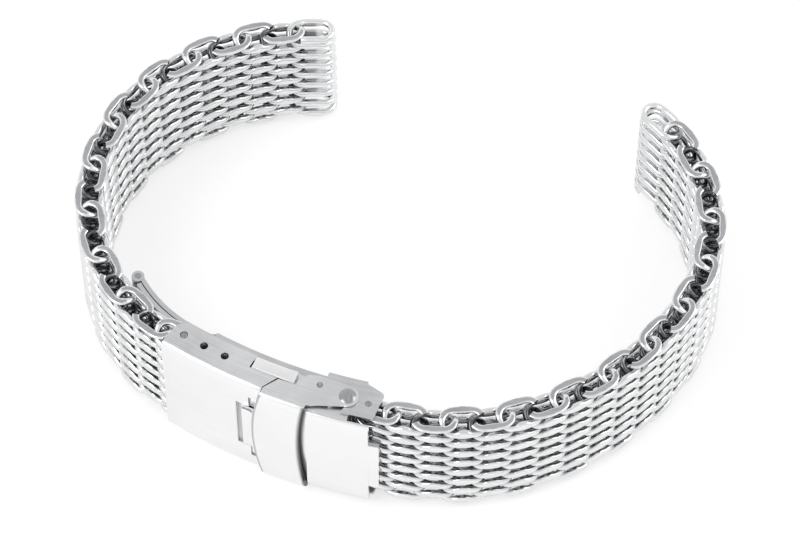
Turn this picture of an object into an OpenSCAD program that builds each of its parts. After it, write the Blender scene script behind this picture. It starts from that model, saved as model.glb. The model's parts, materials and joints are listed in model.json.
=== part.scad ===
// Woven steel watch band: two straps of interlinked wire spirals and a folding clasp.
// Stands on its edge as worn, with the clasp at the front (-Y) and the watch ends at the back.
// Millimetres, +Z along the width of the band. Origin at the middle of the footprint.

/* [Strap] */
// Width of the woven strap
band_w = 20; // [18:0.5:24]
// Thickness of the strap
band_t = 4.2; // [4:0.05:4.5]
// Distance from one spiral to the next
coil_pitch = 4; // [3.9:0.02:4.1]
// Length of one spiral's loops along the strap
loop_len = 6.9; // [6.8:0.02:7.1]
// Length of the loops at the watch ends
end_loop_len = 7.5; // [7.2:0.1:8]
// Wire diameter
wire_d = 1; // [0.8:0.02:1.04]
// Half turns in one spiral
half_turns = 15; // [13:2:15]

/* [Left strap curve] */
// Spirals in the left strap
coils_left = 20; // [14:1:20]
// Angle between the clasp and the first spiral
root_left = 2; // [0:0.5:3]
// Bend per spiral near the clasp
bend_l1 = 8.5; // [7:0.1:10]
// Bend per spiral in the front third
bend_l2 = 8; // [5:0.1:10]
// Bend per spiral in the back third
bend_l3 = 8.2; // [5:0.1:10]
// Bend per spiral near the watch
bend_l4 = 6.6; // [5:0.1:10]

/* [Right strap curve] */
// Spirals in the right strap
coils_right = 22; // [14:1:22]
// Angle between the clasp and the first spiral
root_right = -5; // [-8:0.5:0]
// Bend per spiral near the clasp
bend_r1 = 7; // [5:0.1:9]
// Bend per spiral in the middle
bend_r2 = 5.4; // [4:0.1:8]
// Bend per spiral near the watch
bend_r3 = 8.9; // [6:0.1:10]

/* [Clasp] */
// Radius of the clasp's outer face
clasp_r = 85; // [75:1:110]
// Clearance between strap and clasp walls on each side
side_gap = 0.2; // [0.15:0.05:0.5]
// Thickness of the clasp's side walls
wall_t = 0.8; // [0.6:0.05:1]
// Thickness of the cover plate
plate_t = 0.7; // [0.5:0.05:0.75]
// Depth of the cover's side walls
wall_depth = 5.1; // [4.8:0.05:5.1]
// Distance between adjusting holes
hole_pitch = 3.5; // [3:0.1:3.7]
// Diameter of the adjusting holes
hole_d = 1.16; // [1:0.02:1.3]
// Thickness of the middle blade
mid_t = 0.7; // [0.5:0.05:0.72]
// Thickness of the inner blade
inner_t = 0.7; // [0.5:0.05:0.8]
// Width of the narrow part of both blades
blade_w = 15.4; // [12:0.2:16]
// Radius of the blades beside the cover
fold_r = 27; // [25:1:40]
// Radius of the pressed edges along the cover and the flap
edge_r = 0.9; // [0.8:0.05:0.95]

/* [Push buttons] */
// Height of the buttons' crowns above the cover's walls
crown_h = 0.2; // [0.1:0.02:0.22]
// Travel of the buttons
press = 0.5; // [0.2:0.05:0.5]

/* [Flap and pins] */
// Height of the arch above the cover plate
arch_h = 0.75; // [0.6:0.05:1]
// Diameter of the flap rivet
rivet_d = 1.1; // [0.9:0.05:1.2]
// Diameter of the rivet heads
rivet_head_d = 2.4; // [2:0.1:2.8]
// Height of the rivet heads
rivet_head_h = 0.25; // [0.15:0.05:0.35]
// Diameter of the hinge pins
pin_d = 1; // [0.8:0.05:1.1]
// Diameter of the spring bars
bar_d = 1.4; // [1.2:0.05:1.5]
// Diameter of the spring bar tips
tip_d = 1; // [0.8:0.02:1.1]

/* [Hidden] */
$fn = 72;
strap_parity = 2;

// Colours
steel = [0.78, 0.79, 0.80];
ground_steel = [0.66, 0.67, 0.69];
pin_steel = [0.58, 0.59, 0.61];

// Fits
run_gap = 0.05;      // radial play of a turning pin
seam_gap = 0.12;     // between flush plates of different pieces
slide_gap = 0.1;     // between sheets that lie on each other

// Weave
edge_in = 0.2;       // first wire inside the strap's edge
lap = 0.06;          // straight wires run this far into their bends
bend_thin = 0.02;    // wire thins where it is bent
half_pitch = (band_w - 2 * edge_in) / half_turns;
wire_r = wire_d / 2;
layer_y = (band_t - wire_d) / 2;
bend_r = norm([layer_y, half_pitch / 2]);
trim = 6;            // depth of the ground-off edge zone
anchor = 1.4;        // spring bar to the middle of the first spiral
half_t = band_t / 2;
reach = loop_len / 2 - half_t;

// Widths of the clasp
inner_w = band_w + 2 * side_gap;
clasp_w = inner_w + 2 * wall_t;
mid_z = rivet_head_h + clasp_w / 2;
lo_z = -clasp_w / 2;
in_z = -inner_w / 2;
bracket_gap = 0.1;
bracket_t = 0.7;
bracket_z = in_z + bracket_gap;
wide = -bracket_z - bracket_t - 0.2;

// Arc places: u along the clasp's outer face from its left end, d inward from that face
left_deg = -124.5;
function arc_deg(u) = left_deg + u / clasp_r * 180 / PI;
function at(u, d) = (clasp_r - d) * [cos(arc_deg(u)), sin(arc_deg(u))];
function ats(list) = [for (p = list) at(p[0], p[1])];

// Cover
cover_len = 32.1;
lip_len = 33.6;
lip_z = 5.6;
plate_end = 23.8;
cap_start = 23.1;
ear_u = 16.2;        // where the flap's ear meets the cover wall
hole_u = 1.97;
hole_depth = plate_t + slide_gap + half_t + 0.05;
window_u = 13;
window_depth = 2.95;
corner_r = 2.4;
recess_u = 12.2;
recess_depth = 0.42;
tongue_z = 4.7;
slot_z = 8;
slot_u = 14.2;
edge_steps = 5;      // flats that make up a rounded edge
cap_t = 0.75;
cap_side = 2.1;
cap_gap = 0.14;      // between the raised end plate and the ears
blend = 0.3;         // overlap where two curves of a blade meet
inset = 0.02;        // keeps joined sheets from ending face to face

// Push buttons, which sit in the window notches
button_u = window_u + 0.25;
button_end = 19.95;
button_top = window_depth + seam_gap;
button_low = wall_depth - 0.1;
stem_end = 17.9;
stem_z = 8.8;
crown_bow = 16;      // radius of the crown along the clasp

// Pins
hinge_u = 19.3;
hinge_depth = 4.6;
barrel_r = pin_d / 2 + 0.45;
rivet_u = 28.1;
rivet_depth = 3.4;
ear_r = 1.6;
bar_u = 31.3;
bar_depth = plate_t + 0.3 + half_t;

// Blades
mid_depth = wall_depth + 0.05;
inner_depth = mid_depth + mid_t + slide_gap;
inner_out = inner_depth + inner_t;
fold_u = -14.3;
fold_depth = (mid_depth + inner_out) / 2;
fold_barrel = pin_d / 2 + 0.42;
lug_end = 33.2;
lug_u = 29.6;
lug_start = 24.2;
ear_t = 0.36;        // the flap's ears where they lie over the lug plates
lug_out = lo_z + 0.02 + ear_t + 0.07;
lug_in = in_z + 0.05;
slot_r = rivet_d / 2 + 0.12;
flange_t = 0.7;
knuckle_half = 4.5;
knuckle_len = 1.5;
shoulder_r = 2.2;
flange_depth = wall_depth + 0.15;
arch_u = 18.5;       // middle of the arch
arch_bow = 44;       // radius of the arch's left edge seen from the front
groove_bow = 67;     // radius of its right edge
knuckle_gap = 0.15;

// Points of the curve beside the cover, where the blades bend more tightly
function fold_deg(u) = arc_deg(0) + u / fold_r * 180 / PI;
fold_mid = at(0, fold_r);
function fold_at(u, d) = fold_mid + (fold_r - d) * [cos(fold_deg(u)), sin(fold_deg(u))];

// Way of the rivet through the lug plates while the clasp opens by an angle
arm = fold_at(fold_u, fold_depth) - at(hinge_u, hinge_depth);
function slot_mid(a) =
  at(rivet_u, rivet_depth) + arm - [arm[0] * cos(a) + arm[1] * sin(a), arm[1] * cos(a) - arm[0] * sin(a)];
slot_way = (slot_mid(4) - slot_mid(0)) / norm(slot_mid(4) - slot_mid(0));
slot_side = slot_r * [-slot_way[1], slot_way[0]];

// Strap paths: each entry is [x, y, heading] of one spiral, from the clasp to the watch
function dir(a) = [cos(a), sin(a)];
function turn_l(k) = k < 5 ? bend_l1 : k < 10 ? bend_l2 : k < 15 ? bend_l3 : bend_l4;
function turn_r(k) = k < 6 ? bend_r1 : k < 14 ? bend_r2 : bend_r3;
function place(p, h) = [p[0], p[1], h];
function step_on(c, turn) =
  let (h = c[2] + turn, p = [c[0], c[1]] + coil_pitch / 2 * (dir(c[2]) + dir(h))) place(p, h);
head_l = arc_deg(hole_u) + 270 + root_left;
head_r = arc_deg(bar_u) + 90 + root_right;
first_l = place(at(hole_u, hole_depth) + anchor * dir(head_l), head_l);
first_r = place(at(bar_u, bar_depth) + anchor * dir(head_r), head_r);
path_l = [for (k = 1, c = first_l; k <= coils_left; k = k + 1, c = step_on(c, -turn_l(k - 1))) c];
path_r = [for (k = 1, c = first_r; k <= coils_right; k = k + 1, c = step_on(c, turn_r(k - 1))) c];

// Footprint of the band, which the origin is centred on
both = concat(path_l, path_r);
span_x = [for (c = both) abs(cos(c[2])) * reach + half_t];
span_y = [for (c = both) abs(sin(c[2])) * reach + half_t];
min_x = min([for (k = [0 : len(both) - 1]) both[k][0] - span_x[k]]);
max_x = max([for (k = [0 : len(both) - 1]) both[k][0] + span_x[k]]);
min_y = min([for (k = [0 : len(both) - 1]) both[k][1] - span_y[k]]);
max_y = max([for (k = [0 : len(both) - 1]) both[k][1] + span_y[k]]);
shift = [-(min_x + max_x) / 2, -(min_y + max_y) / 2, mid_z];

// One straight wire of a spiral, on the outer or inner face of the strap
module straight_wire(y, z, half) {
  translate([-half - lap, y, z])
    rotate([0, 90, 0]) cylinder(r = wire_r, h = 2 * half + 2 * lap);
}

// The round bend that carries the wire from one face to the other
module wire_bend(y, z, side, half) {
  tilt = atan2(half_pitch / 2, -y);
  translate([side * half, 0, z + half_pitch / 2])
    rotate([tilt, 0, 0])
      rotate([0, 0, -90 * side])
        rotate_extrude(angle = 180)
          translate([bend_r, 0]) circle(r = wire_r - bend_thin);
}

// One spiral of the mesh across the whole width, its two edges ground flat
module coil(parity, length) {
  half = length / 2 - wire_r - bend_r;
  color(steel)
    difference() {
      union() {
        for (i = [0 : half_turns])
          straight_wire(layer_y * (((i + parity) % 2 == 0) ? 1 : -1), wire_z(i), half);
        for (i = [-1 : half_turns])
          wire_bend(layer_y * (outer_face(i, parity) ? 1 : -1), wire_z(i),
                    outer_face(i, parity) ? 1 : -1, half);
      }
      for (side = [-1, 1])
        translate([0, 0, side * (band_w + trim) / 2])
          cube([2 * length, 2 * band_t, trim], center = true);
    }
}

function wire_z(i) = edge_in + i * half_pitch - band_w / 2;
function outer_face(i, parity) = (i + parity + 2) % 2 == 0;

// A spiral at its place in a strap; the last one has the longer loops
module strap_coil(path, k) {
  last = k == len(path) - 1;
  extra = last ? (end_loop_len - loop_len) / 2 : 0;
  c = path[k];
  translate([c[0] + extra * cos(c[2]), c[1] + extra * sin(c[2]), 0])
    rotate([0, 0, c[2]]) coil(k % strap_parity, last ? end_loop_len : loop_len);
}

// Curved sheet between two places along the clasp and two depths
module sheet(u0, u1, d0, d1, z0, z1) {
  rotate([0, 0, arc_deg(u0)])
    rotate_extrude(angle = arc_deg(u1) - arc_deg(u0))
      translate([clasp_r - d1, z0]) square([d1 - d0, z1 - z0]);
}

// Curved sheet left of the cover, on the tighter curve
module fold_sheet(u0, u1, d0, d1, z0, z1) {
  translate([fold_mid[0], fold_mid[1], 0])
    rotate([0, 0, fold_deg(u0)])
      rotate_extrude(angle = fold_deg(u1) - fold_deg(u0))
        translate([fold_r - d1, z0]) square([d1 - d0, z1 - z0]);
}

module post(p, r, z0, z1) {
  translate([p[0], p[1], z0]) cylinder(r = r, h = z1 - z0);
}

module slab(list, z0, z1) {
  translate([0, 0, z0]) linear_extrude(z1 - z0) polygon(ats(list));
}

// The same slab on both sides of the clasp
module slabs(list, z0, z1) {
  slab(list, z0, z1);
  slab(list, -z1, -z0);
}

module posts(p, r, z0, z1) {
  post(p, r, z0, z1);
  post(p, r, -z1, -z0);
}

// Round cutter whose axis points out of the clasp, for edges that are curved in plan
module face_disc(u, along, z, r) {
  rotate([0, 0, arc_deg(u)])
    translate([clasp_r - 9, along, z]) rotate([0, 90, 0]) cylinder(r = r, h = 12);
}

// Points of a rounded edge about its middle, from one angle to another
function rounding(r, z, radius, from, to) =
  [for (i = [0 : edge_steps]) let (a = from + (to - from) * i / edge_steps)
     [r + radius * cos(a), z + radius * sin(a)]];

module channel_profile() {
  w = clasp_w / 2;
  mid = clasp_r - edge_r;
  polygon(concat(
    rounding(mid, edge_r - w, edge_r, -90, 0),
    rounding(mid, w - edge_r, edge_r, 0, 90),
    [[clasp_r - wall_depth, w], [clasp_r - wall_depth, w - wall_t],
     [clasp_r - plate_t, w - wall_t], [clasp_r - plate_t, wall_t - w],
     [clasp_r - wall_depth, wall_t - w], [clasp_r - wall_depth, -w]]));
}

// Raised end plate, rolled down along both long edges
module cap_profile() {
  w = inner_w / 2 - cap_gap;
  roll = [for (i = [0 : edge_steps]) let (a = 90 * i / edge_steps)
            [clasp_r + cap_t / 3 + 2 * cap_t / 3 * sin(a), w - cap_side * (1 - cos(a))]];
  polygon(concat([[clasp_r - 0.05, -w], [clasp_r - 0.05, w]], roll,
                 [for (i = [edge_steps : -1 : 0]) [roll[i][0], -roll[i][1]]]));
}

module cap() {
  rotate([0, 0, arc_deg(cap_start)])
    rotate_extrude(angle = arc_deg(cover_len) - arc_deg(cap_start)) cap_profile();
  sheet(cover_len - 1, lip_len, -cap_t + 0.04, -0.06, -lip_z, lip_z);
}

module cover() {
  color(steel)
    difference() {
      union() {
        difference() {
          rotate([0, 0, arc_deg(0)])
            rotate_extrude(angle = arc_deg(plate_end) - arc_deg(0)) channel_profile();
          // space for the flap's ears
          slabs([[ear_u - seam_gap, -2], [ear_u - seam_gap, 0.8],
                 [ear_u + 1.4, window_depth + 0.2], [ear_u + 1.4, 9], [lug_end, 9], [lug_end, -2]],
                lo_z - 1, in_z + seam_gap);
          // window notch
          slabs([[window_u, window_depth], [window_u + 0.4, 9], [ear_u + 2, 9],
                 [ear_u + 2, window_depth]], lo_z - 1, in_z + seam_gap);
          // recess around the lifting tongue
          sheet(recess_u, ear_u + 2, -1, recess_depth, -tongue_z - 0.9, tongue_z + 0.9);
          sheet(slot_u, ear_u + 1.9, -1, recess_depth - 0.06, -slot_z, slot_z);
        }
        // step up to the raised end plate
        sheet(cap_start + 0.08, plate_end + 0.3, -0.3, plate_t - 0.1, 0.3 - inner_w / 2,
              inner_w / 2 - 0.3);
        cap();
        // brackets that carry the two pins
        slabs([[18.35, 0.35], [18.35, hinge_depth], [20, hinge_depth + 0.55], [28.3, 4.2],
               [28.9, rivet_depth], [28.9, -0.2], [24.6, -0.2], [23.4, 0.35]],
              bracket_z, bracket_z + bracket_t);
        posts(at(hinge_u, hinge_depth), barrel_r, bracket_z + 0.03, bracket_z + bracket_t - 0.03);
        posts(at(rivet_u, rivet_depth), 0.92, bracket_z + 0.03, bracket_z + bracket_t - 0.03);
      }
      for (k = [0 : 2])
        post(at(hole_u + k * hole_pitch, hole_depth), hole_d / 2, -clasp_w, clasp_w);
      post(at(hinge_u, hinge_depth), pin_d / 2, -clasp_w, clasp_w);
      post(at(rivet_u, rivet_depth), rivet_d / 2 + run_gap, -clasp_w, clasp_w);
      // rounded corners at the left end of the walls
      difference() {
        slab([[-1, wall_depth - corner_r], [-1, 9], [corner_r, 9], [corner_r, wall_depth - corner_r]],
             -clasp_w, clasp_w);
        post(at(corner_r, wall_depth - corner_r), corner_r, -clasp_w - 1, clasp_w + 1);
      }
    }
}

module blade_mid() {
  w = blade_w / 2;
  color(ground_steel)
    difference() {
      union() {
        sheet(-blend, hinge_u + 0.2, mid_depth, mid_depth + mid_t, -w, w);
        fold_sheet(fold_u + knuckle_len, blend, mid_depth + inset, mid_depth + mid_t - inset,
                   inset - w, w - inset);
        fold_sheet(fold_u, fold_u + knuckle_len + 0.2, mid_depth + 2 * inset,
                   mid_depth + mid_t - 2 * inset, knuckle_gap - knuckle_half, knuckle_half - knuckle_gap);
        post(at(hinge_u, hinge_depth), barrel_r, 2 * inset - w, w - 2 * inset);
        post(fold_at(fold_u, fold_depth), fold_barrel,
             knuckle_gap - knuckle_half + inset, knuckle_half - knuckle_gap - inset);
      }
      post(at(hinge_u, hinge_depth), pin_d / 2 + run_gap, -clasp_w, clasp_w);
      post(fold_at(fold_u, fold_depth), pin_d / 2 + run_gap, -clasp_w, clasp_w);
    }
}

module blade_inner() {
  w = blade_w / 2;
  color(ground_steel)
    difference() {
      union() {
        // narrow part with the outer knuckles
        sheet(-blend, 5.5, inner_depth, inner_out, -w, w);
        fold_sheet(fold_u + knuckle_len, blend, inner_depth + inset, inner_out - inset,
                   inset - w, w - inset);
        for (side = [-1, 1]) {
          z0 = side < 0 ? 2 * inset - w : knuckle_half;
          z1 = side < 0 ? -knuckle_half : w - 2 * inset;
          fold_sheet(fold_u, fold_u + knuckle_len + 0.2, inner_depth + 2 * inset,
                     inner_out - 2 * inset, z0, z1);
          post(fold_at(fold_u, fold_depth), fold_barrel, z0 + inset, z1 - inset);
        }
        // wide part with rounded shoulders
        difference() {
          sheet(3.4, lug_u + 1, inner_depth + inset, inner_out - inset, -wide, wide);
          for (side = [-1, 1])
            face_disc(3.1, 0, side * (w + shoulder_r + 0.1), shoulder_r);
        }
        // flanges along both edges
        for (side = [-1, 1])
          sheet(5.6, lug_u - 0.9, flange_depth, inner_out - 0.1,
                side < 0 ? inset - wide : wide - flange_t, side < 0 ? flange_t - wide : wide - inset);
        // wider end that carries the lug plates
        sheet(lug_start + 0.1, lug_u + 0.8, inner_depth + 2 * inset, inner_out - 2 * inset,
              lug_out + inset, -lug_out - inset);
        // saddles that rest against the rivet when the clasp is shut
        slabs([[26.4, inner_out - 0.2], [26, 2.6], [26.6, 2.4], [27.4, 4.05], [28.5, 4.15],
               [28.7, inner_out - 0.2]], 3 * inset - wide, flange_t - wide - 3 * inset);
        // lug plates under the flap's ears, with the slots that snap on the rivet
        difference() {
          slabs([[lug_start, 5.6], [lug_start, inner_out - 0.2], [27.2, inner_out - 0.16],
                 [lug_u + 0.5, inner_out - 0.3], [lug_end - 0.6, 5.4], [lug_end - 0.12, 5.15],
                 [lug_end, 4.85], [lug_end - 0.7, 0.95], [lug_end - 1, 0.75], [26, 0.75], [24.6, 4.3]],
                lug_out, lug_in);
          for (side = [-1, 1])
            translate([0, 0, side < 0 ? lug_out - 1 : -lug_in - 0.5])
              linear_extrude(lug_in - lug_out + 1.5)
                polygon([slot_mid(0) + slot_side, slot_mid(4) + slot_side, slot_mid(9) + 2 * slot_side,
                         slot_mid(9) - 2 * slot_side, slot_mid(4) - slot_side, slot_mid(0) - slot_side]);
          posts(at(rivet_u, rivet_depth), slot_r + 0.03, lug_out - 1, lug_in + 0.5);
        }
      }
      post(fold_at(fold_u, fold_depth), pin_d / 2, -clasp_w, clasp_w);
      post(at(bar_u, bar_depth), tip_d / 2, -clasp_w, clasp_w);
    }
}

module flap_profile() {
  mid = clasp_r + arch_h - edge_r;
  z = clasp_w / 2 - edge_r;
  low = acos((edge_r - arch_h + slide_gap) / edge_r);
  polygon(concat(rounding(mid, -z, edge_r, -low, 0), rounding(mid, z, edge_r, 0, low)));
}

// The pressed edge that runs from the arch down to an ear
module leg_profile(side) {
  mid = clasp_r + arch_h - edge_r;
  z = clasp_w / 2 - edge_r;
  thin = edge_r - 0.03;
  inner = inner_w / 2 + 0.03;
  edge = concat(rounding(mid, z, thin, 50, 90),
                [[clasp_r - 0.4, z + thin], [clasp_r - 0.4, inner], [clasp_r + 0.35, inner]]);
  polygon([for (p = edge) [p[0], side * p[1]]]);
}

module flap() {
  arch_out = arch_u - 3.7;
  color(steel)
    difference() {
      union() {
        // arch bar with its two bowed edges
        difference() {
          intersection() {
            rotate([0, 0, arc_deg(arch_out - 1)])
              rotate_extrude(angle = arc_deg(23.6) - arc_deg(arch_out - 1)) flap_profile();
            face_disc(arch_u, arch_bow - 3.7, 0, arch_bow);
          }
          face_disc(arch_u, groove_bow + 3.4, 0, groove_bow);
        }
        // lifting tongue, bent down into the recess
        sheet(recess_u + 1, arch_out + 1.5, -0.4, recess_depth - slide_gap, -tongue_z, tongue_z);
        // pressed edges and side ears
        for (side = [-1, 1])
          difference() {
            rotate([0, 0, arc_deg(ear_u)])
              rotate_extrude(angle = arc_deg(23.4) - arc_deg(ear_u)) leg_profile(side);
            face_disc(arch_u, groove_bow + 3.44, 0, groove_bow);
          }
        slabs([[ear_u + 0.02, 0.2], [ear_u + 0.02, 0.75], [ear_u + 1.5, window_depth - 0.1],
               [20.3, window_depth], [21.5, 5], [23.1, 5.35], [rivet_u + 0.1, 4.98],
               [rivet_u + 0.1, 1.82], [24.4, 0.9], [22.8, 0.2]], lo_z + 0.02, lo_z + 0.02 + ear_t);
        slabs([[ear_u + 0.04, 0.22], [ear_u + 0.04, 0.73], [ear_u + 1.52, window_depth - 0.13],
               [20.32, window_depth - 0.03], [21.52, 4.9], [22.7, 5.1], [22.7, 0.22]],
              lo_z + 0.1, in_z - 0.02);
        posts(at(rivet_u, rivet_depth), ear_r, lo_z + 0.04, lo_z + ear_t);
      }
      post(at(rivet_u, rivet_depth), rivet_d / 2, -clasp_w, clasp_w);
      // snap holes
      posts(at(23.7, 3.95), 0.45, lo_z - 1, in_z + 1);
    }
}

module button_profile() {
  top = clasp_w / 2 + crown_h;
  half = (button_low - button_top) / 2;
  mid = clasp_r - button_top - half;
  low = -bracket_z + press + 0.05;
  polygon(concat([[mid + half, low]],
                 [for (i = [0 : edge_steps + 1]) let (a = 180 * i / (edge_steps + 1))
                    [mid + half * cos(a), top - 0.35 + 0.35 * sin(a)]],
                 [[mid - half, low]]));
}

// Crowned push button with its stem, on the side of positive Z
module push_button() {
  top = clasp_w / 2 + crown_h;
  color(steel)
    union() {
      intersection() {
        rotate([0, 0, arc_deg(button_u)])
          rotate_extrude(angle = arc_deg(button_end) - arc_deg(button_u)) button_profile();
        face_disc((button_u + button_end) / 2, 0, top - 0.02 - crown_bow, crown_bow);
      }
      sheet(button_u + 0.3, stem_end, button_top + 0.2, button_low - 0.2, stem_z,
            -bracket_z + press + 0.15);
    }
}

module rivet_head() {
  cap_r = (pow(rivet_head_d / 2, 2) + pow(rivet_head_h, 2)) / (2 * rivet_head_h);
  intersection() {
    translate([0, 0, rivet_head_h - cap_r]) sphere(r = cap_r);
    translate([0, 0, -0.02]) cylinder(r = rivet_head_d, h = 1);
  }
}

module flap_rivet() {
  p = at(rivet_u, rivet_depth);
  color(pin_steel)
    translate([p[0], p[1], 0])
      union() {
        cylinder(r = rivet_d / 2, h = clasp_w + 0.04, center = true);
        translate([0, 0, clasp_w / 2]) rivet_head();
        mirror([0, 0, 1]) translate([0, 0, clasp_w / 2]) rivet_head();
      }
}

module pin(p, half) {
  color(pin_steel) post(p, pin_d / 2, -half, half);
}

module spring_bar(p, tip_end) {
  body = inner_w / 2 - 0.6;
  color(pin_steel)
    union() {
      post(p, bar_d / 2, -body, body);
      post(p, tip_d / 2, -tip_end, tip_end);
    }
}

module placed() {
  translate(shift) children();
}

for (k = [0 : coils_left - 1])
  placed() strap_coil(path_l, k);
for (k = [0 : coils_right - 1])
  placed() strap_coil(path_r, k);
placed() cover();
placed() blade_mid();
placed() blade_inner();
placed() flap();
placed() flap_rivet();
placed() push_button();  // push_button_upper
placed() mirror([0, 0, 1]) push_button();  // push_button_lower
placed() pin(at(hinge_u, hinge_depth), -bracket_z - 0.02);  // hinge_pin_cover
placed() pin(fold_at(fold_u, fold_depth), blade_w / 2 - 0.06);  // hinge_pin_fold
placed() spring_bar(at(hole_u, hole_depth), clasp_w / 2 - 0.05);  // spring_bar_l
placed() spring_bar(at(bar_u, bar_depth), -lug_out - 0.05);  // spring_bar_r
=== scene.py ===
import enum
import json
import logging
import math
from dataclasses import dataclass

import bpy
from mathutils import Matrix, Vector

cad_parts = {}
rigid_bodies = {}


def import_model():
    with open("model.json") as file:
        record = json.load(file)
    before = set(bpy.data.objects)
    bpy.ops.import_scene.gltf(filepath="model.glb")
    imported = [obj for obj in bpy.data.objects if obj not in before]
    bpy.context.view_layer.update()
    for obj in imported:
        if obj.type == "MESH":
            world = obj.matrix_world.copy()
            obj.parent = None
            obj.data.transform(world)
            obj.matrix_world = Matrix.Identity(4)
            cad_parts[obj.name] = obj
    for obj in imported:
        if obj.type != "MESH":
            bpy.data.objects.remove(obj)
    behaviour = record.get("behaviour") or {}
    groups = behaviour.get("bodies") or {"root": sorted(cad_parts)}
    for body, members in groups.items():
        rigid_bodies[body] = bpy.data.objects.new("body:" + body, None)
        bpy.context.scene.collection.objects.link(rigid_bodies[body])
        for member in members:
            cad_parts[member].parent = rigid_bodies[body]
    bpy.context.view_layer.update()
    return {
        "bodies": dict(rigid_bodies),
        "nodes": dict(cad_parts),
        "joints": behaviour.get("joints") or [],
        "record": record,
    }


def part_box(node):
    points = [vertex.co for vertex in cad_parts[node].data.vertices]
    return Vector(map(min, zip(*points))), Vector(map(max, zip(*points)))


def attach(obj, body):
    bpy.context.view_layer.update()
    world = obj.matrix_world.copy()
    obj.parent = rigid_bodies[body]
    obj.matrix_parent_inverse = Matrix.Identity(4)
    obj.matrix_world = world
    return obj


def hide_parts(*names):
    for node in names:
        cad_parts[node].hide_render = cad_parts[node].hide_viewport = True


LOG = logging.getLogger("band")
MM = 0.001
# Points of a solid's mesh that are nearer than this, in metres, are one point.
WELD = 1e-6
# The arc of the clasp's outer face in mm: its centre, its radius, and how far along it the
# lowest point lies from the cover's left end.
CLASP_CENTRE = (14.58824, 48.38989)
CLASP_RADIUS = 85.0
CLASP_START = 51.18
# Height of the band's middle above the floor, in mm.
BAND_MIDDLE = 11.25
# The point attribute that holds how much painted shade a point of the wire takes, from how deep it
# lies in the weave.
PAINTED_WEAVE_SHADE = "painted_weave_shade"


class Slot(enum.Enum):
    """The record's material slots, listed with the clasp's pieces."""

    MESH = "mesh_steel"
    COVER = "cover_steel"
    BLADE = "blade_steel"
    PIN = "pin_steel"


class Winding(enum.Enum):
    """The face of the strap on which a spiral's lowest straight wire lies."""

    OUTER = 0
    INNER = 1


def linear(code: str) -> tuple[float, float, float, float]:
    """Turns an sRGB hex colour to linear.

    Args:
        code: Six hex digits after a hash.

    Returns:
        Red, green, blue and alpha for a shader socket.
    """
    parts = [int(code[i:i + 2], 16) / 255 for i in (1, 3, 5)]
    curve = [c / 12.92 if c <= 0.04045 else ((c + 0.055) / 1.055) ** 2.4 for c in parts]
    return (curve[0], curve[1], curve[2], 1.0)


def clamp(value: float) -> float:
    """Keeps a value between 0 and 1."""
    return min(1.0, max(0.0, value))


def add_node(tree: bpy.types.NodeTree, kind: str, sockets: dict | None = None,
             **settings: object) -> bpy.types.Node:
    """Adds a node with its settings, and sets or links its sockets.

    Args:
        tree: The node tree that takes the node.
        kind: The node's type name.
        sockets: A value or an output socket for each input, by name or number.
        settings: The node's own properties.

    Returns:
        The new node.
    """
    made = tree.nodes.new(kind)
    for name, value in settings.items():
        setattr(made, name, value)
    for key, value in (sockets or {}).items():
        if isinstance(value, bpy.types.NodeSocket):
            tree.links.new(value, made.inputs[key])
        else:
            made.inputs[key].default_value = value
    return made


def deselect() -> None:
    """Leaves edit mode and deselects everything."""
    if bpy.context.object and bpy.context.object.mode == "EDIT":
        bpy.ops.object.mode_set(mode="OBJECT")
    bpy.ops.object.select_all(action="DESELECT")


def work_on(piece: bpy.types.Object) -> None:
    """Makes a piece the only selected object and the active one.

    Args:
        piece: The piece to work on.
    """
    deselect()
    piece.select_set(True)
    bpy.context.view_layer.objects.active = piece


def settle(piece: bpy.types.Object) -> None:
    """Puts a piece's place into its mesh, so that its object sits at the origin."""
    work_on(piece)
    bpy.ops.object.transform_apply(location=True, rotation=True, scale=True)


@dataclass(frozen=True)
class Seam:
    """A pressed edge on the clasp's face along which shade is painted, for the shading of its
    rolled and sloped sides and the shadow where parts meet.

    Lengths are in millimetres.

    Attributes:
        along: Where the edge crosses the band's middle, from the cover's left end.
        bow: Radius of the edge's arc on the face.
        width: Distance from the edge at which the painted shade has faded out.
        dark: How much of the face's colour the painted shade covers at the edge.
        reach: How far the edge runs to each side of the band's middle.
        core: Distance from the edge within which the painted shade doesn't fade.
        under: How far below the clasp's outer arc the painted shade still shows.
        painted_shade: The colour of the shade painted along the edge.
    """

    along: float
    bow: float
    width: float
    dark: float
    reach: float = 12.0
    core: float = 0.08
    under: float = 0.5
    # colour of the shade painted along the edge
    painted_shade: str = "#3A3B3E"


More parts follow.
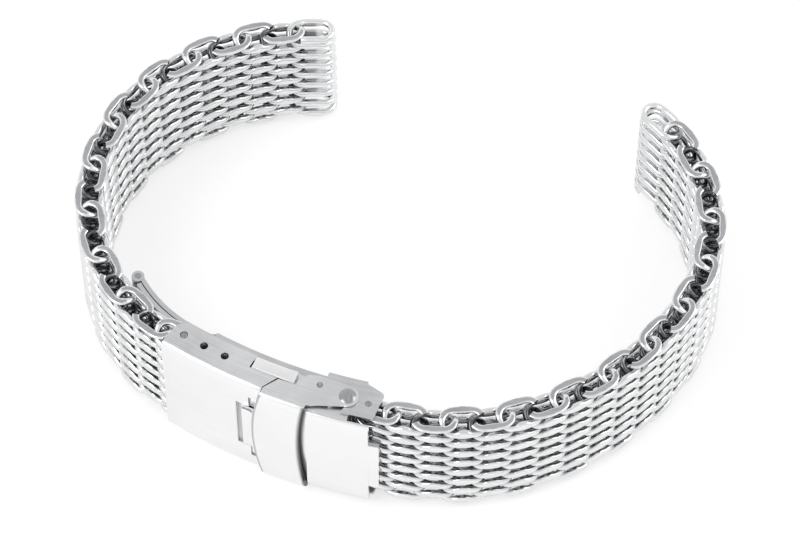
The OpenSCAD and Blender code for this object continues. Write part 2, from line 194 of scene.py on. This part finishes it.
@dataclass(frozen=True)
class Steel:
    """A stainless steel surface: its colour, gloss, the marks of how it was made, and the shade
    painted in its crevices and along its seams.

    Lengths are in millimetres.

    Attributes:
        name: The material's name.
        colour: The surface where it is brightest.
        shade: The surface where it is darkest, outside the painted shade of crevices and seams.
        roughness: The middle roughness.
        rough_range: How far the roughness goes to each side of it.
        line_length: Length of the brushing or polishing lines.
        line_width: Width of those lines.
        depth: How deep the lines are.
        curved: Whether the lines follow the clasp's arc or run straight.
        smudge: Size of the finger marks and uneven spots.
        smudge_share: How much of the marks is smudges, the rest being lines.
        crevice_shade: The colour of the shade painted deep in the weave, or nothing.
        seams: The pressed edges along which shade is painted on this surface.
    """

    name: str
    colour: str
    shade: str
    roughness: float
    rough_range: float
    line_length: float
    line_width: float
    depth: float
    curved: bool = True
    smudge: float = 6.0
    smudge_share: float = 0.45
    # colour of the shade painted deep in the weave
    crevice_shade: str = ""
    # edges along which shade is painted
    seams: tuple[Seam, ...] = ()

    def place(self, tree: bpy.types.NodeTree) -> bpy.types.NodeSocket:
        """Gives the coordinates in mm, straight or bent round the clasp's arc.

        Args:
            tree: The material's node tree.

        Returns:
            The socket with the coordinates. Bent ones are the length along the arc, the
            distance from its centre, and the height.
        """
        here = add_node(tree, "ShaderNodeTexCoord").outputs["Object"]
        sized = add_node(tree, "ShaderNodeVectorMath", {0: here, "Scale": 1 / MM},
                         operation="SCALE").outputs[0]
        if not self.curved:
            return sized
        apart = add_node(tree, "ShaderNodeVectorMath", {0: sized, 1: (*CLASP_CENTRE, 0.0)},
                         operation="SUBTRACT").outputs[0]
        axes = add_node(tree, "ShaderNodeSeparateXYZ", {0: apart}).outputs
        angle = add_node(tree, "ShaderNodeMath", {0: axes[0], 1: axes[1]},
                         operation="ARCTAN2").outputs[0]
        along = add_node(tree, "ShaderNodeMath", {0: angle, 1: CLASP_RADIUS},
                         operation="MULTIPLY").outputs[0]
        flat = add_node(tree, "ShaderNodeVectorMath", {0: apart, 1: (1.0, 1.0, 0.0)},
                        operation="MULTIPLY").outputs[0]
        radius = add_node(tree, "ShaderNodeVectorMath", {0: flat},
                          operation="LENGTH").outputs["Value"]
        return add_node(tree, "ShaderNodeCombineXYZ", {0: along, 1: radius, 2: axes[2]}).outputs[0]

    def paint_edge_shade(self, tree: bpy.types.NodeTree, where: bpy.types.NodeSocket, seam: Seam,
              paint: bpy.types.NodeSocket) -> bpy.types.NodeSocket:
        """Paints shade on the clasp's outer face on both sides of a pressed edge.

        Args:
            tree: The material's node tree.
            where: The coordinates from place.
            seam: The edge.
            paint: The colour so far.

        Returns:
            The colour with the shade painted on.
        """
        centre = (CLASP_START - math.pi * CLASP_RADIUS - seam.along - seam.bow, 0.0, BAND_MIDDLE)
        apart = add_node(tree, "ShaderNodeVectorMath", {0: where, 1: centre},
                         operation="SUBTRACT").outputs[0]
        flat = add_node(tree, "ShaderNodeVectorMath", {0: apart, 1: (1.0, 0.0, 1.0)},
                        operation="MULTIPLY").outputs[0]
        far = add_node(tree, "ShaderNodeVectorMath", {0: flat}, operation="LENGTH").outputs["Value"]
        near = add_node(tree, "ShaderNodeMath", {0: far, 1: seam.bow},
                        operation="SUBTRACT").outputs[0]
        off = add_node(tree, "ShaderNodeMath", {0: near}, operation="ABSOLUTE").outputs[0]
        # painted shade: full on the edge, fading out to both sides, only on the outer face
        share = add_node(tree, "ShaderNodeMapRange",
                         {"Value": off, "From Min": seam.core, "From Max": seam.width,
                          "To Min": seam.dark, "To Max": 0.0},
                         interpolation_type="SMOOTHSTEP").outputs[0]
        axes = add_node(tree, "ShaderNodeSeparateXYZ", {0: apart}).outputs
        outer = add_node(tree, "ShaderNodeMath", {0: axes[1], 1: CLASP_RADIUS - seam.under},
                         operation="GREATER_THAN").outputs[0]
        high = add_node(tree, "ShaderNodeMath", {0: axes[2]}, operation="ABSOLUTE").outputs[0]
        along = add_node(tree, "ShaderNodeMath", {0: high, 1: seam.reach},
                         operation="LESS_THAN").outputs[0]
        there = add_node(tree, "ShaderNodeMath", {0: outer, 1: along},
                         operation="MULTIPLY").outputs[0]
        edge_shade_mask = add_node(tree, "ShaderNodeMath", {0: share, 1: there},
                        operation="MULTIPLY").outputs[0]
        return add_node(tree, "ShaderNodeMix",
                        {"Factor": edge_shade_mask, "A": paint, "B": linear(seam.painted_shade)},
                        data_type="RGBA").outputs["Result"]

    def build(self) -> bpy.types.Material:
        """Builds the material.

        Returns:
            The material, made once and shared by the pieces that have this finish.
        """
        ready = bpy.data.materials.get(self.name)
        if ready:
            return ready
        made = bpy.data.materials.new(self.name)
        made.use_nodes = True
        tree = made.node_tree
        shader = tree.nodes["Principled BSDF"]
        where = self.place(tree)
        # brushing or polishing lines, long one way and fine the other
        scale = (1 / self.line_length, 1 / self.line_width, 1 / self.line_width)
        stretched = add_node(tree, "ShaderNodeVectorMath", {0: where, 1: scale},
                             operation="MULTIPLY").outputs[0]
        lines = add_node(tree, "ShaderNodeTexNoise",
                         {"Vector": stretched, "Scale": 1.0, "Detail": 3.0,
                          "Roughness": 0.6}).outputs["Fac"]
        # finger marks and uneven polish, some millimetres across
        cloud = add_node(tree, "ShaderNodeTexNoise",
                         {"Vector": where, "Scale": 1 / self.smudge, "Detail": 4.0,
                          "Roughness": 0.55}).outputs["Fac"]
        both = add_node(tree, "ShaderNodeMix",
                        {0: self.smudge_share, 2: lines, 3: cloud}).outputs[0]
        rough = add_node(tree, "ShaderNodeMapRange",
                         {"Value": both, "From Min": 0.3, "From Max": 0.7,
                          "To Min": max(0.02, self.roughness - self.rough_range),
                          "To Max": self.roughness + self.rough_range}).outputs[0]
        tone = add_node(tree, "ShaderNodeMapRange",
                        {"Value": both, "From Min": 0.35, "From Max": 0.65}).outputs[0]
        paint = add_node(tree, "ShaderNodeMix",
                         {"Factor": tone, "A": linear(self.shade), "B": linear(self.colour)},
                         data_type="RGBA").outputs["Result"]
        if self.crevice_shade:
            # painted shade: little light comes back out of the tight gaps, so the inside of the
            # weave is painted dark
            inside = add_node(tree, "ShaderNodeAttribute", attribute_name=PAINTED_WEAVE_SHADE).outputs["Fac"]
            paint = add_node(tree, "ShaderNodeMix",
                             {"Factor": inside, "A": paint, "B": linear(self.crevice_shade)},
                             data_type="RGBA").outputs["Result"]
        # painted shade along the pressed edges
        for seam in self.seams:
            paint = self.paint_edge_shade(tree, where, seam, paint)
        bump = add_node(tree, "ShaderNodeBump",
                        {"Height": lines, "Distance": self.depth * MM,
                         "Strength": 0.6}).outputs[0]
        tree.links.new(paint, shader.inputs["Base Color"])
        tree.links.new(rough, shader.inputs["Roughness"])
        tree.links.new(bump, shader.inputs["Normal"])
        shader.inputs["Metallic"].default_value = 1.0
        return made


# Drawn stainless wire, woven and then polished in a drum: bright outside, with shade painted into
# the gaps.
POLISHED_WIRE = Steel(
    "stainless_wire_polished", colour="#F6F6F7", shade="#E2E3E4", roughness=0.16,
    rough_range=0.05, line_length=1.2, line_width=0.12, depth=0.004, curved=False, smudge=3.0,
    crevice_shade="#626467")
# The same wire where the strap's edges are ground flat: greyer, with fine grinding lines.
GROUND_WIRE = Steel(
    "stainless_wire_ground", colour="#BFC1C4", shade="#A2A4A7", roughness=0.36,
    rough_range=0.08, line_length=4.0, line_width=0.1, depth=0.01, curved=False)
# Painted shade along the pressed groove beside the arch, the arch's left edge and the recess's
# straight slope.
GROOVE = Seam(along=22.0, bow=67.0, width=0.7, dark=0.85)
ARCH_EDGE = Seam(along=14.9, bow=44.0, width=0.32, dark=0.5)
RECESS_SLOPE = Seam(along=12.5, bow=900.0, width=0.6, dark=0.45, reach=5.6)
# Pressed stainless sheet, mirror polished on its outer face: nearly white, hairlines only,
# with shade painted along its pressed edges.
MIRROR_SHEET = Steel(
    "stainless_sheet_mirror", colour="#F8F8F9", shade="#F4F4F5", roughness=0.16,
    rough_range=0.015, line_length=18.0, line_width=0.3, depth=0.0003,
    seams=(GROOVE, ARCH_EDGE, RECESS_SLOPE))
# The same sheet brushed lengthways on its side walls: a soft grey with streaks.
BRUSHED_SHEET = Steel(
    "stainless_sheet_brushed", colour="#E2E3E4", shade="#C8C9CB", roughness=0.32,
    rough_range=0.07, line_length=12.0, line_width=0.11, depth=0.012)
# Rolled stainless strip of the folding blades, satin on both faces: an even, dull grey.
SATIN_STRIP = Steel(
    "stainless_strip_satin", colour="#D3D4D6", shade="#BCBDC0", roughness=0.32,
    rough_range=0.08, line_length=9.0, line_width=0.12, depth=0.01)
# Turned and tumbled pins and the rivet: a darker grey with fine rings.
TURNED_PIN = Steel(
    "stainless_pin_turned", colour="#B6B7BA", shade="#8E8F92", roughness=0.2,
    rough_range=0.06, line_length=0.14, line_width=1.5, depth=0.006, curved=False)


@dataclass
class Spiral:
    """One spiral of flat-faced wire, modelled across the strap at the origin.

    Lengths are in millimetres. The strap runs along X, its outer face is at positive Y.
    A closed spiral ends in level rings, as at the watch ends; the others end in hooks
    that are ground flat at the strap's two edges.

    Attributes:
        winding: The face on which the lowest straight wire lies.
        loop_length: Length of a loop along the strap, over the wire.
        closed: Whether the spiral ends in level rings.
        width: Width of the strap.
        thickness: Thickness of the strap, over the wire.
        wire: Diameter of the wire.
        flat: Height of a straight wire's middle after pressing.
        swell: How soon a pressed wire widens, as the power of a half sine.
        half_turns: How many half turns lie across the strap.
        edge_in: Distance of the first and last straight wire from the strap's edges.
        ring_sides: Points of one cross-section of the wire.
        straight_steps: Cross-sections along a straight wire.
        bend_steps: Cross-sections round a bend.
        tip_steps: Cross-sections of the short bend at a ground end.
        hook: Shares of an edge bend between which it rises to the next straight wire.
        proud: Points less than this below the ground edge are ground too.
        rim: How far the rim of a ground face lies below it.
        level: How far from the edge a ground face's points may lie.
        squareness: How square the pressed faces are, as a power below 1.
        press_past: How far past a straight wire's ends the pressing starts.
        press_fade: Length over which the pressing grows to its full share.
        in_wire: Points up to this many wire radii from the face's middle are pressed.
        dark_above: How far outside the straight wires' middle the painted shade in the gaps starts.
        dark_fade: Depth over which the painted shade in the gaps gets full.
        rim_in: Distance from the strap's edge at which the painted shade in the gaps starts.
        rim_fade: Length over which it gets full.
        free_from: Where the end of a closed spiral that takes no painted shade starts, along the
            strap.
    """

    winding: Winding
    loop_length: float
    closed: bool = False
    width: float = 20.0
    thickness: float = 4.2
    wire: float = 1.0
    flat: float = 1.58
    swell: float = 0.7
    half_turns: int = 15
    edge_in: float = 0.2
    ring_sides: int = 16
    straight_steps: int = 6
    bend_steps: int = 12
    tip_steps: int = 4
    hook: tuple[float, float] = (0.3, 0.9)
    proud: float = 0.02
    rim: float = 0.04
    level: float = 0.001
    squareness: float = 0.6
    press_past: float = 0.2
    press_fade: float = 0.5
    in_wire: float = 1.01
    dark_above: float = 0.3
    dark_fade: float = 1.1
    rim_in: float = 0.5
    rim_fade: float = 0.8
    free_from: float = 0.8

    @property
    def rise(self) -> float:
        """How far up the strap's width one half turn goes."""
        return (self.width - 2 * self.edge_in) / self.half_turns

    @property
    def face(self) -> float:
        """How far the straight wires lie from the strap's middle."""
        return (self.thickness - self.wire) / 2

    @property
    def half(self) -> float:
        """Half the length of a straight wire."""
        return self.loop_length / 2 - self.wire / 2 - math.hypot(self.face, self.rise / 2)

    def start(self, side: int, z: float, steps: int) -> bpy.types.Object:
        """Draws the wire's end as a circle, part of a bend before the first straight wire.

        Args:
            side: The way along X in which the first straight wire runs.
            z: Height of the first straight wire.
            steps: How many steps of a bend lie before the straight wire.

        Returns:
            The piece, in edit mode with the wire's open end selected.
        """
        angle = math.pi * steps / self.bend_steps
        centre = Vector((-side * self.half, 0, z))
        arm = Vector((-math.sin(angle), math.cos(angle), 0)) * side * self.face
        deselect()
        bpy.ops.mesh.primitive_circle_add(
            vertices=self.ring_sides, radius=self.wire / 2 * MM, location=(centre + arm) * MM,
            rotation=(0, math.pi / 2, angle))
        piece = bpy.context.object
        bpy.ops.object.mode_set(mode="EDIT")
        bpy.ops.mesh.select_all(action="SELECT")
        bpy.ops.mesh.spin(steps=steps, angle=angle, center=centre * MM, axis=(0, 0, 1))
        return piece

    def straight(self, side: int, y: float, z: float) -> None:
        """Draws the wire out along one face and presses it flat in the middle.

        Args:
            side: The way along X in which the wire runs.
            y: Distance of the wire from the strap's middle.
            z: Height of the wire.
        """
        step = 2 * self.half / self.straight_steps
        x = -side * self.half
        tall = 1.0
        for k in range(1, self.straight_steps + 1):
            bpy.ops.mesh.extrude_region_move(
                TRANSFORM_OT_translate={"value": (side * step * MM, 0, 0)})
            x += side * step
            bulge = max(0.0, math.sin(math.pi * k / self.straight_steps)) ** self.swell
            pressed = 1 + (self.flat / self.wire - 1) * bulge
            bpy.ops.transform.resize(value=(1, 1, pressed / tall),
                                     center_override=(x * MM, y * MM, z * MM))
            tall = pressed

    def turn_round(self, side: int, y: float, z: float, rise: float, steps: int) -> None:
        """Spins the wire round towards the other face.

        Args:
            side: The end of the loop, along X, that is bent.
            y: Distance of the wire from the strap's middle before the bend.
            z: Height of the wire before the bend.
            rise: How far up the strap's width a full bend goes.
            steps: How many steps of a full bend are made.
        """
        centre = Vector((side * self.half, 0, z + rise / 2)) * MM
        arm = Vector((0, y, -rise / 2)).normalized()
        bpy.ops.mesh.spin(steps=steps, angle=side * math.pi * steps / self.bend_steps,
                          center=centre, axis=Vector((1, 0, 0)).cross(arm))

    def wind(self) -> bpy.types.Object:
        """Winds the wire from the bottom to the top.

        Returns:
            The closed tube.
        """
        side = 1 if self.winding is Winding.OUTER else -1
        z = self.edge_in - self.width / 2
        ends = self.bend_steps if self.closed else self.tip_steps
        piece = self.start(side, z, ends)
        for k in range(self.half_turns + 1):
            last = k == self.half_turns
            y = side * self.face
            self.straight(side, y, z)
            self.turn_round(side, y, z, 0.0 if last else self.rise,
                            ends if last else self.bend_steps)
            z += self.rise
            side = -side
        if self.closed:
            z -= self.rise
            self.straight(side, side * self.face, z)
        bpy.ops.mesh.select_all(action="SELECT")
        bpy.ops.mesh.fill_holes(sides=0)
        bpy.ops.object.mode_set(mode="OBJECT")
        settle(piece)
        return piece

    def rings(self, piece: bpy.types.Object) -> list[list[bpy.types.MeshVertex]]:
        """Lists the wire's cross-sections from the bottom to the top."""
        points = piece.data.vertices
        return [points[i:i + self.ring_sides] for i in range(0, len(points), self.ring_sides)]

    def lay_hooks(self, piece: bpy.types.Object) -> None:
        """Keeps the bends at the two edges level for longer, to be ground as round hooks.

        Args:
            piece: The wound wire.
        """
        rings = self.rings(piece)
        turn = self.straight_steps + self.bend_steps
        begin, end = self.hook
        for half_turn, upper in ((0, False), (self.half_turns - 1, True)):
            first = 1 + self.tip_steps + half_turn * turn + self.straight_steps
            for k in range(self.bend_steps):
                t = (k + 1) / self.bend_steps
                late = clamp(((1 - t if upper else t) - begin) / (end - begin))
                share = late * late * (3 - 2 * late)
                level = 1 - share if upper else share
                lift = self.rise * (level - (1 - math.cos(math.pi * t)) / 2) * MM
                for v in rings[first + k]:
                    v.co.z += lift

    def grind(self, piece: bpy.types.Object) -> None:
        """Grinds both edges level, takes off the rims and gives the edges their finish.

        Args:
            piece: The wound wire.
        """
        top = self.width / 2
        for ring in self.rings(piece):
            for side in (-1, 1):
                over = [i for i, v in enumerate(ring) if side * v.co.z / MM > top - self.proud]
                for i in over:
                    beside = {(i - 1) % self.ring_sides, (i + 1) % self.ring_sides}
                    rim = len(over) > 2 and not beside <= set(over)
                    ring[i].co.z = side * (top - (self.rim if rim else 0.0)) * MM
        for f in piece.data.polygons:
            edge = [abs(piece.data.vertices[i].co.z) / MM for i in f.vertices]
            f.material_index = 1 if min(edge) > top - self.level else 0

    def press_faces(self, piece: bpy.types.Object) -> None:
        """Presses the straight wires flat and notes how much painted shade each point takes, from
        how deep it lies in the weave.

        Args:
            piece: The wound wire.
        """
        depth = piece.data.attributes.new(PAINTED_WEAVE_SHADE, "FLOAT", "POINT")
        radius = self.wire / 2
        for v, note in zip(piece.data.vertices, depth.data):
            x, y, z = v.co / MM
            off = (abs(y) - self.face) / radius
            share = clamp((self.half + self.press_past - abs(x)) / self.press_fade)
            if share > 0 and abs(off) < self.in_wire:
                square = math.copysign(abs(off) ** self.squareness, off)
                v.co.y = math.copysign(self.face + radius * (off + share * (square - off)), y) * MM
            # painted shade: darker deeper in the weave, lighter near the ground edges and at a
            # closed spiral's free end
            deep = clamp((self.face + self.dark_above - abs(y)) / self.dark_fade)
            from_edge = clamp((self.width / 2 - self.rim_in - abs(z)) / self.rim_fade)
            held = 0.0 if self.closed and x > self.free_from else 1.0
            note.value = deep * from_edge * held

    def model(self, smooth_below: float = 40.0) -> bpy.types.Object:
        """Winds the wire, presses its faces and finishes its ends.

        Args:
            smooth_below: Edges that turn by fewer degrees than this are shaded smooth.

        Returns:
            The spiral, with its ground faces in the second material slot.
        """
        piece = self.wind()
        piece.data.materials.append(POLISHED_WIRE.build())
        piece.data.materials.append(GROUND_WIRE.build())
        self.press_faces(piece)
        if not self.closed:
            self.lay_hooks(piece)
            self.grind(piece)
        bpy.ops.object.mode_set(mode="EDIT")
        bpy.ops.mesh.select_all(action="SELECT")
        bpy.ops.mesh.normals_make_consistent(inside=False)
        bpy.ops.object.mode_set(mode="OBJECT")
        bpy.ops.object.shade_smooth_by_angle(angle=math.radians(smooth_below))
        return piece


@dataclass
class MeshStrap:
    """One half of the band: spirals threaded through each other along a curve.

    Lengths are in millimetres.

    Attributes:
        side: Which half it is, left or right, as in the joints' names.
        count: How many spirals it has.
        last_bend: Degrees by which the last spiral is turned against the one before it.
        pitch: Distance from one spiral to the next.
        loop: Length of a spiral's loops along the strap.
        end_loop: Length of the last spiral's loops.
    """

    side: str
    count: int
    last_bend: float
    pitch: float = 4.0
    loop: float = 6.9
    end_loop: float = 7.5

    def places(self, frame: dict) -> list[tuple[Vector, Vector]]:
        """Finds each spiral's middle and direction from the joints between them.


        Returns:
            The middle and the direction along the strap, one pair for each spiral.
        """
        joints = {j["name"]: j for j in frame["joints"]}
        pins = [Vector(joints[f"{self.side}_bend_{k:02d}"]["pos_m"])
                for k in range(1, self.count + 1)]
        half = self.pitch / 2 * MM
        found = []
        for a, b in zip(pins, pins[1:]):
            way = (b - a).normalized()
            found.append((b - half * way, way))
        way = Matrix.Rotation(math.radians(self.last_bend), 3, "Z") @ found[-1][1]
        longer = (self.end_loop - self.loop) / 2 * MM
        found.append((pins[-1] + (half + longer) * way, way))
        return found

    def build(self, frame: dict, patterns: dict) -> None:
        """Copies the spirals to their places.

        Args:
            patterns: The modelled spirals, by winding and whether it is a last one.
        """
        for k, (middle, way) in enumerate(self.places(frame)):
            pattern = patterns[(Winding(k % 2), k == self.count - 1)]
            name = f"coil_{self.side[0]}{k + 1:02d}"
            piece = pattern.copy()
            piece.data = pattern.data.copy()
            piece.name = piece.data.name = f"spiral_{self.side}_{k + 1:02d}"
            bpy.context.collection.objects.link(piece)
            piece.location = middle
            piece.rotation_euler = (0, 0, math.atan2(way.y, way.x))
            settle(piece)
            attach(piece, f"{self.side}_{k + 1:02d}")
            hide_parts(name)
            mine = [[pick(v.co[i] for v in piece.data.vertices) for i in range(3)]
                    for pick in (min, max)]
            off = max(abs(a - b) for own, solid in zip(mine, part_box(name))
                      for a, b in zip(own, solid))
            LOG.info("%s: %d faces, %.2f mm from the solid's box",
                     piece.name, len(piece.data.polygons), off / MM)


@dataclass
class ClaspPiece:
    """A pressed or turned clasp piece, with rounded edges and its finishes.

    Lengths are in millimetres and angles in degrees.

    Attributes:
        node: The solid's name in the part.
        body: The moving body that it rides on.
        slot: The record's material slot; not used.
        finish: Its finish.
        edge: Width of the rounding along its sharp edges.
        wall: The finish of its side walls, if they have one of their own.
        corner: Width of the rounding of the upright corners, or nothing.
        edge_segments: Faces across the rounding of an edge.
        corner_segments: Faces across the rounding of a corner.
        flat_below: Edges of the solid that turn by less than this are dissolved.
        round_above: Edges that turn by more than this are rounded.
        smooth_below: Edges that turn by less than this are shaded smooth.
        corner_above: Upright edges that turn by more than this are corners.
        upright: Least vertical share of a corner's direction.
        side_wall: Least vertical share of a side wall's normal.
    """

    node: str
    body: str
    slot: Slot
    finish: Steel
    edge: float
    wall: Steel | None = None
    corner: float = 0.0
    edge_segments: int = 3
    corner_segments: int = 6
    flat_below: float = 0.5
    round_above: float = 32.0
    smooth_below: float = 35.0
    corner_above: float = 50.0
    upright: float = 0.99
    side_wall: float = 0.9

    def round_corners(self, piece: bpy.types.Object) -> None:
        """Rounds the upright corners, which are seen from the clasp's outside.

        Args:
            piece: The merged copy of the solid.
        """
        bpy.ops.object.mode_set(mode="EDIT")
        bpy.ops.mesh.select_mode(type="EDGE")
        bpy.ops.mesh.select_all(action="DESELECT")
        bpy.ops.mesh.edges_select_sharp(sharpness=math.radians(self.corner_above))
        bpy.ops.object.mode_set(mode="OBJECT")
        for e in piece.data.edges:
            a, b = (piece.data.vertices[i].co for i in e.vertices)
            e.select = e.select and abs((b - a).normalized().z) > self.upright
        bpy.ops.object.mode_set(mode="EDIT")
        bpy.ops.mesh.bevel(offset=self.corner * MM, segments=self.corner_segments,
                           affect="EDGES", clamp_overlap=True)
        bpy.ops.object.mode_set(mode="OBJECT")

    def build(self, frame: dict) -> None:
        """Copies the piece's solid, joins its faces, rounds its edges and dresses it.
        """
        solid = frame["nodes"][self.node]
        piece = bpy.data.objects.new(f"dressed_{self.node}", solid.data.copy())
        bpy.context.collection.objects.link(piece)
        work_on(piece)
        bpy.ops.mesh.customdata_custom_splitnormals_clear()
        bpy.ops.object.mode_set(mode="EDIT")
        bpy.ops.mesh.select_all(action="SELECT")
        bpy.ops.mesh.remove_doubles(threshold=WELD)
        bpy.ops.mesh.dissolve_limited(angle_limit=math.radians(self.flat_below))
        bpy.ops.mesh.normals_make_consistent(inside=False)
        bpy.ops.object.mode_set(mode="OBJECT")
        if self.corner:
            self.round_corners(piece)
        rounding = piece.modifiers.new("rounding", "BEVEL")
        rounding.width = self.edge * MM
        rounding.segments = self.edge_segments
        rounding.limit_method = "ANGLE"
        rounding.angle_limit = math.radians(self.round_above)
        bpy.ops.object.modifier_apply(modifier=rounding.name)
        bpy.ops.object.shade_smooth_by_angle(angle=math.radians(self.smooth_below))
        piece.data.materials.clear()
        piece.data.materials.append(self.finish.build())
        if self.wall:
            piece.data.materials.append(self.wall.build())
            for f in piece.data.polygons:
                f.material_index = 1 if abs(f.normal.z) > self.side_wall else 0
        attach(piece, self.body)
        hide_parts(self.node)
        LOG.info("%s: %d faces", piece.name, len(piece.data.polygons))


@dataclass
class Studio:
    """White paper floor, plain soft light and the camera.

    Attributes:
        camera_at: Where the camera stands, in mm.
        aim: The point that it looks at, in mm.
        lens: Its focal length in mm.
        near: Where its view starts, in metres.
        floor_size: Side of the floor, in metres.
        floor_gap: How far the floor lies below the band, in mm.
        paper: The floor's colour.
        seen_glow: How much the floor glows where it is seen directly.
        mirrored_glow: How much it glows where it is seen in the steel.
    """

    camera_at: tuple[float, float, float] = (-0.0098, -313.967, 500.173)
    aim: tuple[float, float, float] = (-0.0098, -2.489, 11.25)
    lens: float = 180.0
    near: float = 0.01
    floor_size: float = 6.0
    floor_gap: float = 0.05
    paper: str = "#B4B4B4"
    seen_glow: float = 0.6
    mirrored_glow: float = 0.5

    def floor(self) -> None:
        """Lays the white floor, which glows a little where it is seen or mirrored."""
        deselect()
        bpy.ops.mesh.primitive_plane_add(size=self.floor_size,
                                         location=(0, 0, -self.floor_gap * MM))
        ground = bpy.context.object
        ground.name = "floor"
        # matt uncoated paper: no gloss, an even white under the lamps
        paper = bpy.data.materials.new("white_paper")
        paper.use_nodes = True
        tree = paper.node_tree
        shader = tree.nodes["Principled BSDF"]
        shader.inputs["Base Color"].default_value = linear(self.paper)
        shader.inputs["Roughness"].default_value = 0.9
        shader.inputs["Specular IOR Level"].default_value = 0.1
        path = add_node(tree, "ShaderNodeLightPath").outputs
        mirrored = add_node(tree, "ShaderNodeMath",
                            {0: path["Is Glossy Ray"], 1: self.mirrored_glow},
                            operation="MULTIPLY").outputs[0]
        lift = add_node(tree, "ShaderNodeMath",
                        {0: path["Is Camera Ray"], 1: self.seen_glow, 2: mirrored},
                        operation="MULTIPLY_ADD").outputs[0]
        shader.inputs["Emission Color"].default_value = (1, 1, 1, 1)
        tree.links.new(lift, shader.inputs["Emission Strength"])
        ground.data.materials.append(paper)

    def sky(self) -> None:
        """Lights from all round: white where it is seen, a little dimmer overhead."""
        world = bpy.data.worlds.new("white_room")
        world.use_nodes = True
        tree = world.node_tree
        tree.nodes.clear()
        up = add_node(tree, "ShaderNodeTexCoord").outputs["Generated"]
        height = add_node(tree, "ShaderNodeSeparateXYZ", {0: up}).outputs[2]
        ramp = add_node(tree, "ShaderNodeMapRange",
                        {"Value": height, "From Min": 0.2, "From Max": 1.0,
                         "To Min": 1.0, "To Max": 0.8}).outputs[0]
        room = add_node(tree, "ShaderNodeBackground",
                        {"Color": (1, 1, 1, 1), "Strength": ramp}).outputs[0]
        white = add_node(tree, "ShaderNodeBackground",
                         {"Color": (1, 1, 1, 1), "Strength": 1.0}).outputs[0]
        path = add_node(tree, "ShaderNodeLightPath").outputs
        mixed = add_node(tree, "ShaderNodeMixShader",
                         {0: path["Is Camera Ray"], 1: room, 2: white}).outputs[0]
        add_node(tree, "ShaderNodeOutputWorld", {"Surface": mixed})
        bpy.context.scene.world = world

    def lamp(self, name: str, place: tuple[float, float, float], size: float,
             power: float) -> None:
        """Hangs a soft square lamp that faces the band.

        Args:
            name: The lamp's name.
            place: Where it hangs, in metres.
            size: Its side, in metres.
            power: Its power in watts.
        """
        deselect()
        bpy.ops.object.light_add(type="AREA", location=place)
        made = bpy.context.object
        made.name = name
        made.data.size = size
        made.data.energy = power
        made.rotation_euler = (-Vector(place)).to_track_quat("-Z", "Y").to_euler()

    def camera(self) -> None:
        """Sets the camera where the photograph was taken from."""
        deselect()
        where = Vector(self.camera_at) * MM
        bpy.ops.object.camera_add(location=where)
        made = bpy.context.object
        sight = Vector(self.aim) * MM - where
        made.rotation_euler = sight.to_track_quat("-Z", "Y").to_euler()
        made.data.lens = self.lens
        made.data.clip_start = self.near
        bpy.context.scene.camera = made

    def build(self) -> None:
        """Builds the floor, the light and the camera."""
        self.floor()
        self.sky()
        self.lamp("softbox_left", place=(-0.5, -0.25, 0.7), size=0.5, power=2.2)
        self.lamp("softbox_right", place=(0.6, 0.1, 0.6), size=0.5, power=1.2)
        self.camera()
        bpy.context.scene.view_settings.view_transform = "Standard"


def clasp_pieces() -> list[ClaspPiece]:
    """Lists the clasp's pieces with the finish that each one has."""
    return [
        ClaspPiece("cover", "clasp_cover", Slot.COVER, MIRROR_SHEET, 0.14, BRUSHED_SHEET),
        ClaspPiece("flap", "safety_flap", Slot.COVER, MIRROR_SHEET, 0.12, BRUSHED_SHEET),
        ClaspPiece("blade_mid", "middle_blade", Slot.BLADE, SATIN_STRIP, 0.08),
        ClaspPiece("blade_inner", "inner_blade", Slot.BLADE, SATIN_STRIP, 0.08),
        ClaspPiece("push_button_upper", "upper_button", Slot.COVER, MIRROR_SHEET, 0.25,
                   corner=0.7),
        ClaspPiece("push_button_lower", "lower_button", Slot.COVER, MIRROR_SHEET, 0.25,
                   corner=0.7),
        ClaspPiece("flap_rivet", "safety_flap", Slot.PIN, TURNED_PIN, 0.04),
        ClaspPiece("hinge_pin_cover", "clasp_cover", Slot.PIN, TURNED_PIN, 0.06),
        ClaspPiece("hinge_pin_fold", "inner_blade", Slot.PIN, TURNED_PIN, 0.06),
        ClaspPiece("spring_bar_l", "clasp_cover", Slot.PIN, TURNED_PIN, 0.06),
        ClaspPiece("spring_bar_r", "inner_blade", Slot.PIN, TURNED_PIN, 0.06),
    ]


def main() -> None:
    """Builds the dressed band, piece by piece, and the studio round it."""
    logging.basicConfig(level=logging.INFO, format="%(message)s")
    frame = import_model()
    left = MeshStrap("left", count=20, last_bend=-6.6)
    right = MeshStrap("right", count=22, last_bend=8.9)
    patterns = {(winding, False): Spiral(winding, left.loop).model() for winding in Winding}
    # the last spiral of both straps: narrower, so that its level rings end at the edges
    patterns[(Winding.INNER, True)] = Spiral(Winding.INNER, left.end_loop, closed=True,
                                             edge_in=0.7, flat=1.3).model()
    for strap in (left, right):
        strap.build(frame, patterns)
    for pattern in patterns.values():
        bpy.data.objects.remove(pattern)
    for piece in clasp_pieces():
        piece.build(frame)
    Studio().build()


if __name__ == "__main__":
    main()
